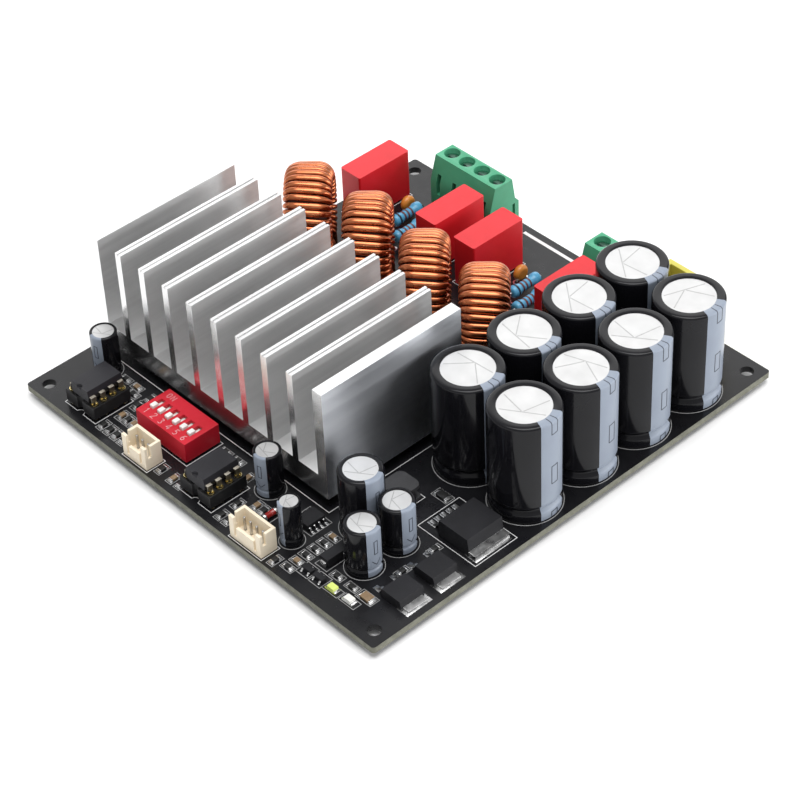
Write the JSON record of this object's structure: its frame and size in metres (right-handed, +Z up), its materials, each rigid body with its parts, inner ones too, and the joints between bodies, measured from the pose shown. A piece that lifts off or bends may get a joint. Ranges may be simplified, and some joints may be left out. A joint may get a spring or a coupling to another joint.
{
  "type": "audio amplifier board",
  "caption": "Stereo audio power amplifier board: finned heatsink, wound ring chokes, tall supply capacitors, screw terminals, upright power plug and a bank of gain slide switches.",
  "frame": {"origin": "centre of the four corner mounting holes, on the underside of the board", "axes": "+X to the right and +Y to the back, seen from above with the signal headers in front; +Z up"},
  "size_m": [0.116, 0.12, 0.035],
  "materials": {
    "board": "black solder mask, satin",
    "solder": "bright solder",
    "heatsink": "bare extruded, satin",
    "screw_steel": "plated",
    "chip_plastic": "moulded epoxy",
    "can_sleeve": "shrunk sleeve, glossy",
    "iron_core": "coated powder iron",
    "copper_wire": "enamelled copper, glossy",
    "film_box": "moulded box, satin",
    "resistor_coat": "lacquered",
    "disc_coat": "dipped",
    "terminal_green": "moulded",
    "tinned_pin": "tinned",
    "plug_yellow": "moulded nylon",
    "gold_contact": "gold plated",
    "switch_red": "moulded",
    "socket_black": "moulded",
    "slider_white": "moulded",
    "header_cream": "moulded nylon",
    "ferrite": "ferrite",
    "chip_ceramic": "ceramic with tinned ends",
    "led_lens": "cast resin"
  },
  "bodies": {
    "board": {"circuit_board": "board", "solder_joints": "solder", "heatsink": "heatsink", "heatsink_screws": "screw_steel", "amplifier_chip": "chip_plastic", "bulk_capacitor_1": "can_sleeve", "bulk_capacitor_2": "can_sleeve", "bulk_capacitor_3": "can_sleeve", "bulk_capacitor_4": "can_sleeve", "bulk_capacitor_5": "can_sleeve", "bulk_capacitor_6": "can_sleeve", "bulk_capacitor_7": "can_sleeve", "bulk_capacitor_8": "can_sleeve", "filter_capacitors": "can_sleeve", "coupling_capacitors": "can_sleeve", "choke_cores": "iron_core", "choke_winding_1": "copper_wire", "choke_winding_2": "copper_wire", "choke_winding_3": "copper_wire", "choke_winding_4": "copper_wire", "film_capacitor_1": "film_box", "film_capacitor_2": "film_box", "film_capacitor_3": "film_box", "film_capacitor_4": "film_box", "snubber_resistors": "resistor_coat", "snubber_capacitors": "disc_coat", "speaker_terminal_housing": "terminal_green", "power_terminal_housing": "terminal_green", "connector_pins": "tinned_pin", "power_plug_housing": "plug_yellow", "power_plug_pins": "gold_contact", "dip_switch_case": "switch_red", "dip_switch_base": "socket_black", "signal_headers": "header_cream", "op_amp_sockets": "socket_black", "socket_contacts": "gold_contact", "op_amps": "chip_plastic", "voltage_regulators": "chip_plastic", "power_inductor": "ferrite", "small_semiconductors": "chip_plastic", "chip_passives": "chip_ceramic", "leds": "led_lens"},
    "dip_slider_1": {"dip_slider_1": "slider_white"},
    "dip_slider_2": {"dip_slider_2": "slider_white"},
    "dip_slider_3": {"dip_slider_3": "slider_white"},
    "dip_slider_4": {"dip_slider_4": "slider_white"},
    "dip_slider_5": {"dip_slider_5": "slider_white"},
    "dip_slider_6": {"dip_slider_6": "slider_white"},
    "speaker_screw_1": {"speaker_screw_1": "screw_steel"},
    "speaker_cage_1": {"speaker_cage_1": "screw_steel"},
    "speaker_screw_2": {"speaker_screw_2": "screw_steel"},
    "speaker_cage_2": {"speaker_cage_2": "screw_steel"},
    "speaker_screw_3": {"speaker_screw_3": "screw_steel"},
    "speaker_cage_3": {"speaker_cage_3": "screw_steel"},
    "speaker_screw_4": {"speaker_screw_4": "screw_steel"},
    "speaker_cage_4": {"speaker_cage_4": "screw_steel"},
    "power_screw_1": {"power_screw_1": "screw_steel"},
    "power_cage_1": {"power_cage_1": "screw_steel"},
    "power_screw_2": {"power_screw_2": "screw_steel"},
    "power_cage_2": {"power_cage_2": "screw_steel"}
  },
  "joints": [
    {"name": "dip_slider_1_slide", "type": "slide", "parent": "board", "child": "dip_slider_1", "axis": [0, 1, 0], "range_m": [0, 0.0018]},
    {"name": "dip_slider_2_slide", "type": "slide", "parent": "board", "child": "dip_slider_2", "axis": [0, 1, 0], "range_m": [0, 0.0018]},
    {"name": "dip_slider_3_slide", "type": "slide", "parent": "board", "child": "dip_slider_3", "axis": [0, 1, 0], "range_m": [0, 0.0018]},
    {"name": "dip_slider_4_slide", "type": "slide", "parent": "board", "child": "dip_slider_4", "axis": [0, 1, 0], "range_m": [0, 0.0018]},
    {"name": "dip_slider_5_slide", "type": "slide", "parent": "board", "child": "dip_slider_5", "axis": [0, 1, 0], "range_m": [0, 0.0018]},
    {"name": "dip_slider_6_slide", "type": "slide", "parent": "board", "child": "dip_slider_6", "axis": [0, 1, 0], "range_m": [0, 0.0018]},
    {"name": "speaker_screw_1_turn", "type": "hinge", "parent": "board", "child": "speaker_screw_1", "pos_m": [-0.03912, 0.0553, 0.012], "axis": [0, 0, -1], "range_deg": [0, 1584.1]},
    {"name": "speaker_cage_1_lift", "type": "slide", "parent": "board", "child": "speaker_cage_1", "axis": [0, 0, 1], "range_m": [0, 0.0022]},
    {"name": "speaker_screw_2_turn", "type": "hinge", "parent": "board", "child": "speaker_screw_2", "pos_m": [-0.03404, 0.0553, 0.012], "axis": [0, 0, -1], "range_deg": [0, 1584.1]},
    {"name": "speaker_cage_2_lift", "type": "slide", "parent": "board", "child": "speaker_cage_2", "axis": [0, 0, 1], "range_m": [0, 0.0022]},
    {"name": "speaker_screw_3_turn", "type": "hinge", "parent": "board", "child": "speaker_screw_3", "pos_m": [-0.02896, 0.0553, 0.012], "axis": [0, 0, -1], "range_deg": [0, 1584.1]},
    {"name": "speaker_cage_3_lift", "type": "slide", "parent": "board", "child": "speaker_cage_3", "axis": [0, 0, 1], "range_m": [0, 0.0022]},
    {"name": "speaker_screw_4_turn", "type": "hinge", "parent": "board", "child": "speaker_screw_4", "pos_m": [-0.02388, 0.0553, 0.012], "axis": [0, 0, -1], "range_deg": [0, 1584.1]},
    {"name": "speaker_cage_4_lift", "type": "slide", "parent": "board", "child": "speaker_cage_4", "axis": [0, 0, 1], "range_m": [0, 0.0022]},
    {"name": "power_screw_1_turn", "type": "hinge", "parent": "board", "child": "power_screw_1", "pos_m": [0.01036, 0.0553, 0.012], "axis": [0, 0, -1], "range_deg": [0, 1584.1]},
    {"name": "power_cage_1_lift", "type": "slide", "parent": "board", "child": "power_cage_1", "axis": [0, 0, 1], "range_m": [0, 0.0022]},
    {"name": "power_screw_2_turn", "type": "hinge", "parent": "board", "child": "power_screw_2", "pos_m": [0.01544, 0.0553, 0.012], "axis": [0, 0, -1], "range_deg": [0, 1584.1]},
    {"name": "power_cage_2_lift", "type": "slide", "parent": "board", "child": "power_cage_2", "axis": [0, 0, 1], "range_m": [0, 0.0022]}
  ],
  "couplings": [
    {"joint": "speaker_screw_1_turn", "follows": "speaker_cage_1_lift", "rad_per_m": 12566},
    {"joint": "speaker_screw_2_turn", "follows": "speaker_cage_2_lift", "rad_per_m": 12566},
    {"joint": "speaker_screw_3_turn", "follows": "speaker_cage_3_lift", "rad_per_m": 12566},
    {"joint": "speaker_screw_4_turn", "follows": "speaker_cage_4_lift", "rad_per_m": 12566},
    {"joint": "power_screw_1_turn", "follows": "power_cage_1_lift", "rad_per_m": 12566},
    {"joint": "power_screw_2_turn", "follows": "power_cage_2_lift", "rad_per_m": 12566}
  ]
}
